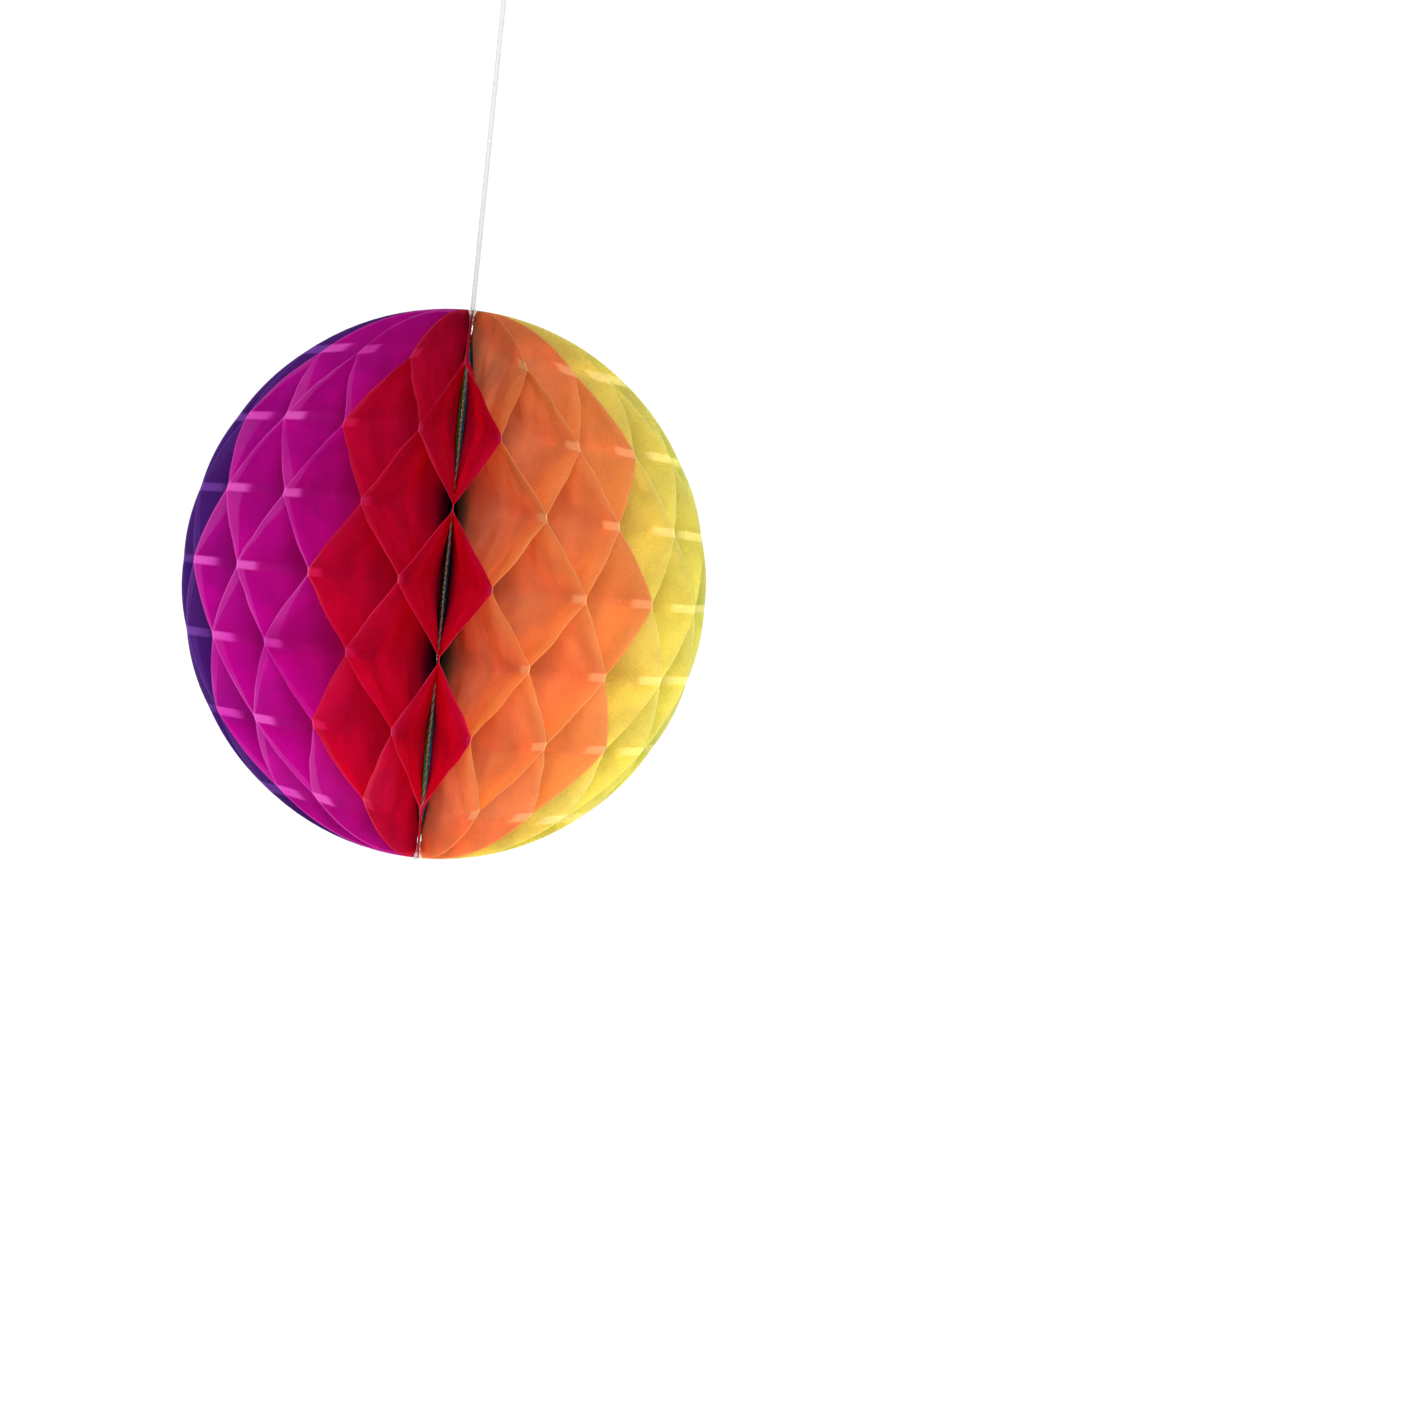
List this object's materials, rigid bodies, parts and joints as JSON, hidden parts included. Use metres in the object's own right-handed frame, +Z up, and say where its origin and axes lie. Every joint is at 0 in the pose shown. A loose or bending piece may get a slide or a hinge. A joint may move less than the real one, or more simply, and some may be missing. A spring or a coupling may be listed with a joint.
{
  "type": "paper honeycomb ball",
  "caption": "Round hanging decoration of tissue leaves glued in a honeycomb, which folds flat like a fan between card covers.",
  "frame": {"origin": "where a hook bears on the hanging loop, at the underside of its top; the ball's centre is 256.7 mm below", "axes": "+Z up, along the ball's spine and the string; +Y from the spine towards the seam where the two covers meet; +X to the right when the ball is seen from -Y, with the seam at the back"},
  "size_m": [0.1872, 0.19, 0.3584],
  "materials": {
    "tissue_green": "thin matt tissue paper, lets light through",
    "tissue_teal": "thin matt tissue paper, lets light through",
    "tissue_purple": "thin matt tissue paper, lets light through",
    "tissue_magenta": "thin matt tissue paper, lets light through",
    "tissue_red": "thin matt tissue paper, lets light through",
    "tissue_orange": "thin matt tissue paper, lets light through",
    "tissue_yellow": "thin matt tissue paper, lets light through",
    "card": "matt uncoated card",
    "tape": "thin double-sided tape",
    "twine": "two-ply red and white cotton twine",
    "string": "soft white cotton string"
  },
  "bodies": {
    "hanger": {"hanging_loop": "string", "loop_knot": "string", "hanging_string": "string"},
    "spine": {"spine_twine": "twine", "top_knot": "string", "bottom_knot": "string", "first_cover": "card", "upper_tape": "tape", "lower_tape": "tape"},
    "last_cover": {"last_cover": "card"},
    "leaf_01": {"leaf_01_green": "tissue_green"},
    "leaf_02": {"leaf_02_green": "tissue_green"},
    "leaf_03": {"leaf_03_green": "tissue_green"},
    "leaf_04": {"leaf_04_green": "tissue_green"},
    "leaf_05": {"leaf_05_teal": "tissue_teal"},
    "leaf_06": {"leaf_06_teal": "tissue_teal"},
    "leaf_07": {"leaf_07_teal": "tissue_teal"},
    "leaf_08": {"leaf_08_teal": "tissue_teal"},
    "leaf_09": {"leaf_09_purple": "tissue_purple"},
    "leaf_10": {"leaf_10_purple": "tissue_purple"},
    "leaf_11": {"leaf_11_purple": "tissue_purple"},
    "leaf_12": {"leaf_12_purple": "tissue_purple"},
    "leaf_13": {"leaf_13_magenta": "tissue_magenta"},
    "leaf_14": {"leaf_14_magenta": "tissue_magenta"},
    "leaf_15": {"leaf_15_magenta": "tissue_magenta"},
    "leaf_16": {"leaf_16_magenta": "tissue_magenta"},
    "leaf_17": {"leaf_17_red": "tissue_red"},
    "leaf_18": {"leaf_18_red": "tissue_red"},
    "leaf_19": {"leaf_19_red": "tissue_red"},
    "leaf_20": {"leaf_20_red": "tissue_red"},
    "leaf_21": {"leaf_21_orange": "tissue_orange"},
    "leaf_22": {"leaf_22_orange": "tissue_orange"},
    "leaf_23": {"leaf_23_orange": "tissue_orange"},
    "leaf_24": {"leaf_24_orange": "tissue_orange"},
    "leaf_25": {"leaf_25_yellow": "tissue_yellow"},
    "leaf_26": {"leaf_26_yellow": "tissue_yellow"},
    "leaf_27": {"leaf_27_yellow": "tissue_yellow"},
    "leaf_28": {"leaf_28_yellow": "tissue_yellow"},
    "leaf_29": {"leaf_29_green": "tissue_green"},
    "leaf_30": {"leaf_30_green": "tissue_green"},
    "leaf_31": {"leaf_31_green": "tissue_green"},
    "leaf_32": {"leaf_32_green": "tissue_green"},
    "leaf_33": {"leaf_33_teal": "tissue_teal"},
    "leaf_34": {"leaf_34_teal": "tissue_teal"},
    "leaf_35": {"leaf_35_teal": "tissue_teal"},
    "leaf_36": {"leaf_36_teal": "tissue_teal"}
  },
  "joints": [
    {"name": "ball_swing", "type": "hinge", "parent": "hanger", "child": "spine", "pos_m": [0, 0, -0.1592], "axis": [0, 1, 0], "range_deg": [-45, 45]},
    {"name": "fan_fold", "type": "hinge", "parent": "spine", "child": "last_cover", "pos_m": [0, 0, -0.2567], "axis": [0, 0, 1], "range_deg": [-351, 0]},
    {"name": "leaf_01_turn", "type": "hinge", "parent": "spine", "child": "leaf_01", "pos_m": [0, 0, -0.2567], "axis": [0, 0, 1], "range_deg": [-3.71, 0], "deforming": ["leaf_01_green"]},
    {"name": "leaf_02_turn", "type": "hinge", "parent": "spine", "child": "leaf_02", "pos_m": [0, 0, -0.2567], "axis": [0, 0, 1], "range_deg": [-13.53, 0], "deforming": ["leaf_02_green"]},
    {"name": "leaf_03_turn", "type": "hinge", "parent": "spine", "child": "leaf_03", "pos_m": [0, 0, -0.2567], "axis": [0, 0, 1], "range_deg": [-23.35, 0], "deforming": ["leaf_03_green"]},
    {"name": "leaf_04_turn", "type": "hinge", "parent": "spine", "child": "leaf_04", "pos_m": [0, 0, -0.2567], "axis": [0, 0, 1], "range_deg": [-33.16, 0], "deforming": ["leaf_04_green"]},
    {"name": "leaf_05_turn", "type": "hinge", "parent": "spine", "child": "leaf_05", "pos_m": [0, 0, -0.2567], "axis": [0, 0, 1], "range_deg": [-42.98, 0], "deforming": ["leaf_05_teal"]},
    {"name": "leaf_06_turn", "type": "hinge", "parent": "spine", "child": "leaf_06", "pos_m": [0, 0, -0.2567], "axis": [0, 0, 1], "range_deg": [-52.8, 0], "deforming": ["leaf_06_teal"]},
    {"name": "leaf_07_turn", "type": "hinge", "parent": "spine", "child": "leaf_07", "pos_m": [0, 0, -0.2567], "axis": [0, 0, 1], "range_deg": [-62.61, 0], "deforming": ["leaf_07_teal"]},
    {"name": "leaf_08_turn", "type": "hinge", "parent": "spine", "child": "leaf_08", "pos_m": [0, 0, -0.2567], "axis": [0, 0, 1], "range_deg": [-72.43, 0], "deforming": ["leaf_08_teal"]},
    {"name": "leaf_09_turn", "type": "hinge", "parent": "spine", "child": "leaf_09", "pos_m": [0, 0, -0.2567], "axis": [0, 0, 1], "range_deg": [-82.25, 0], "deforming": ["leaf_09_purple"]},
    {"name": "leaf_10_turn", "type": "hinge", "parent": "spine", "child": "leaf_10", "pos_m": [0, 0, -0.2567], "axis": [0, 0, 1], "range_deg": [-92.06, 0], "deforming": ["leaf_10_purple"]},
    {"name": "leaf_11_turn", "type": "hinge", "parent": "spine", "child": "leaf_11", "pos_m": [0, 0, -0.2567], "axis": [0, 0, 1], "range_deg": [-101.88, 0], "deforming": ["leaf_11_purple"]},
    {"name": "leaf_12_turn", "type": "hinge", "parent": "spine", "child": "leaf_12", "pos_m": [0, 0, -0.2567], "axis": [0, 0, 1], "range_deg": [-111.7, 0], "deforming": ["leaf_12_purple"]},
    {"name": "leaf_13_turn", "type": "hinge", "parent": "spine", "child": "leaf_13", "pos_m": [0, 0, -0.2567], "axis": [0, 0, 1], "range_deg": [-121.51, 0], "deforming": ["leaf_13_magenta"]},
    {"name": "leaf_14_turn", "type": "hinge", "parent": "spine", "child": "leaf_14", "pos_m": [0, 0, -0.2567], "axis": [0, 0, 1], "range_deg": [-131.33, 0], "deforming": ["leaf_14_magenta"]},
    {"name": "leaf_15_turn", "type": "hinge", "parent": "spine", "child": "leaf_15", "pos_m": [0, 0, -0.2567], "axis": [0, 0, 1], "range_deg": [-141.15, 0], "deforming": ["leaf_15_magenta"]},
    {"name": "leaf_16_turn", "type": "hinge", "parent": "spine", "child": "leaf_16", "pos_m": [0, 0, -0.2567], "axis": [0, 0, 1], "range_deg": [-150.96, 0], "deforming": ["leaf_16_magenta"]},
    {"name": "leaf_17_turn", "type": "hinge", "parent": "spine", "child": "leaf_17", "pos_m": [0, 0, -0.2567], "axis": [0, 0, 1], "range_deg": [-160.78, 0], "deforming": ["leaf_17_red"]},
    {"name": "leaf_18_turn", "type": "hinge", "parent": "spine", "child": "leaf_18", "pos_m": [0, 0, -0.2567], "axis": [0, 0, 1], "range_deg": [-170.6, 0], "deforming": ["leaf_18_red"]},
    {"name": "leaf_19_turn", "type": "hinge", "parent": "spine", "child": "leaf_19", "pos_m": [0, 0, -0.2567], "axis": [0, 0, 1], "range_deg": [-180.41, 0], "deforming": ["leaf_19_red"]},
    {"name": "leaf_20_turn", "type": "hinge", "parent": "spine", "child": "leaf_20", "pos_m": [0, 0, -0.2567], "axis": [0, 0, 1], "range_deg": [-190.23, 0], "deforming": ["leaf_20_red"]},
    {"name": "leaf_21_turn", "type": "hinge", "parent": "spine", "child": "leaf_21", "pos_m": [0, 0, -0.2567], "axis": [0, 0, 1], "range_deg": [-200.05, 0], "deforming": ["leaf_21_orange"]},
    {"name": "leaf_22_turn", "type": "hinge", "parent": "spine", "child": "leaf_22", "pos_m": [0, 0, -0.2567], "axis": [0, 0, 1], "range_deg": [-209.86, 0], "deforming": ["leaf_22_orange"]},
    {"name": "leaf_23_turn", "type": "hinge", "parent": "spine", "child": "leaf_23", "pos_m": [0, 0, -0.2567], "axis": [0, 0, 1], "range_deg": [-219.68, 0], "deforming": ["leaf_23_orange"]},
    {"name": "leaf_24_turn", "type": "hinge", "parent": "spine", "child": "leaf_24", "pos_m": [0, 0, -0.2567], "axis": [0, 0, 1], "range_deg": [-229.5, 0], "deforming": ["leaf_24_orange"]},
    {"name": "leaf_25_turn", "type": "hinge", "parent": "spine", "child": "leaf_25", "pos_m": [0, 0, -0.2567], "axis": [0, 0, 1], "range_deg": [-239.31, 0], "deforming": ["leaf_25_yellow"]},
    {"name": "leaf_26_turn", "type": "hinge", "parent": "spine", "child": "leaf_26", "pos_m": [0, 0, -0.2567], "axis": [0, 0, 1], "range_deg": [-249.13, 0], "deforming": ["leaf_26_yellow"]},
    {"name": "leaf_27_turn", "type": "hinge", "parent": "spine", "child": "leaf_27", "pos_m": [0, 0, -0.2567], "axis": [0, 0, 1], "range_deg": [-258.95, 0], "deforming": ["leaf_27_yellow"]},
    {"name": "leaf_28_turn", "type": "hinge", "parent": "spine", "child": "leaf_28", "pos_m": [0, 0, -0.2567], "axis": [0, 0, 1], "range_deg": [-268.76, 0], "deforming": ["leaf_28_yellow"]},
    {"name": "leaf_29_turn", "type": "hinge", "parent": "spine", "child": "leaf_29", "pos_m": [0, 0, -0.2567], "axis": [0, 0, 1], "range_deg": [-278.58, 0], "deforming": ["leaf_29_green"]},
    {"name": "leaf_30_turn", "type": "hinge", "parent": "spine", "child": "leaf_30", "pos_m": [0, 0, -0.2567], "axis": [0, 0, 1], "range_deg": [-288.4, 0], "deforming": ["leaf_30_green"]},
    {"name": "leaf_31_turn", "type": "hinge", "parent": "spine", "child": "leaf_31", "pos_m": [0, 0, -0.2567], "axis": [0, 0, 1], "range_deg": [-298.21, 0], "deforming": ["leaf_31_green"]},
    {"name": "leaf_32_turn", "type": "hinge", "parent": "spine", "child": "leaf_32", "pos_m": [0, 0, -0.2567], "axis": [0, 0, 1], "range_deg": [-308.03, 0], "deforming": ["leaf_32_green"]},
    {"name": "leaf_33_turn", "type": "hinge", "parent": "spine", "child": "leaf_33", "pos_m": [0, 0, -0.2567], "axis": [0, 0, 1], "range_deg": [-317.85, 0], "deforming": ["leaf_33_teal"]},
    {"name": "leaf_34_turn", "type": "hinge", "parent": "spine", "child": "leaf_34", "pos_m": [0, 0, -0.2567], "axis": [0, 0, 1], "range_deg": [-327.66, 0], "deforming": ["leaf_34_teal"]},
    {"name": "leaf_35_turn", "type": "hinge", "parent": "spine", "child": "leaf_35", "pos_m": [0, 0, -0.2567], "axis": [0, 0, 1], "range_deg": [-337.48, 0], "deforming": ["leaf_35_teal"]},
    {"name": "leaf_36_turn", "type": "hinge", "parent": "spine", "child": "leaf_36", "pos_m": [0, 0, -0.2567], "axis": [0, 0, 1], "range_deg": [-347.3, 0], "deforming": ["leaf_36_teal"]}
  ],
  "couplings": [
    {"joint": "leaf_01_turn", "follows": "fan_fold", "ratio": 0.010565},
    {"joint": "leaf_02_turn", "follows": "fan_fold", "ratio": 0.038533},
    {"joint": "leaf_03_turn", "follows": "fan_fold", "ratio": 0.0665},
    {"joint": "leaf_04_turn", "follows": "fan_fold", "ratio": 0.094468},
    {"joint": "leaf_05_turn", "follows": "fan_fold", "ratio": 0.12244},
    {"joint": "leaf_06_turn", "follows": "fan_fold", "ratio": 0.1504},
    {"joint": "leaf_07_turn", "follows": "fan_fold", "ratio": 0.17837},
    {"joint": "leaf_08_turn", "follows": "fan_fold", "ratio": 0.20634},
    {"joint": "leaf_09_turn", "follows": "fan_fold", "ratio": 0.23431},
    {"joint": "leaf_10_turn", "follows": "fan_fold", "ratio": 0.26227},
    {"joint": "leaf_11_turn", "follows": "fan_fold", "ratio": 0.29024},
    {"joint": "leaf_12_turn", "follows": "fan_fold", "ratio": 0.31821},
    {"joint": "leaf_13_turn", "follows": "fan_fold", "ratio": 0.34618},
    {"joint": "leaf_14_turn", "follows": "fan_fold", "ratio": 0.37415},
    {"joint": "leaf_15_turn", "follows": "fan_fold", "ratio": 0.40211},
    {"joint": "leaf_16_turn", "follows": "fan_fold", "ratio": 0.43008},
    {"joint": "leaf_17_turn", "follows": "fan_fold", "ratio": 0.45805},
    {"joint": "leaf_18_turn", "follows": "fan_fold", "ratio": 0.48602},
    {"joint": "leaf_19_turn", "follows": "fan_fold", "ratio": 0.51398},
    {"joint": "leaf_20_turn", "follows": "fan_fold", "ratio": 0.54195},
    {"joint": "leaf_21_turn", "follows": "fan_fold", "ratio": 0.56992},
    {"joint": "leaf_22_turn", "follows": "fan_fold", "ratio": 0.59789},
    {"joint": "leaf_23_turn", "follows": "fan_fold", "ratio": 0.62586},
    {"joint": "leaf_24_turn", "follows": "fan_fold", "ratio": 0.65382},
    {"joint": "leaf_25_turn", "follows": "fan_fold", "ratio": 0.68179},
    {"joint": "leaf_26_turn", "follows": "fan_fold", "ratio": 0.70976},
    {"joint": "leaf_27_turn", "follows": "fan_fold", "ratio": 0.73773},
    {"joint": "leaf_28_turn", "follows": "fan_fold", "ratio": 0.76569},
    {"joint": "leaf_29_turn", "follows": "fan_fold", "ratio": 0.79366},
    {"joint": "leaf_30_turn", "follows": "fan_fold", "ratio": 0.82163},
    {"joint": "leaf_31_turn", "follows": "fan_fold", "ratio": 0.8496},
    {"joint": "leaf_32_turn", "follows": "fan_fold", "ratio": 0.87756},
    {"joint": "leaf_33_turn", "follows": "fan_fold", "ratio": 0.90553},
    {"joint": "leaf_34_turn", "follows": "fan_fold", "ratio": 0.9335},
    {"joint": "leaf_35_turn", "follows": "fan_fold", "ratio": 0.96147},
    {"joint": "leaf_36_turn", "follows": "fan_fold", "ratio": 0.98943}
  ]
}
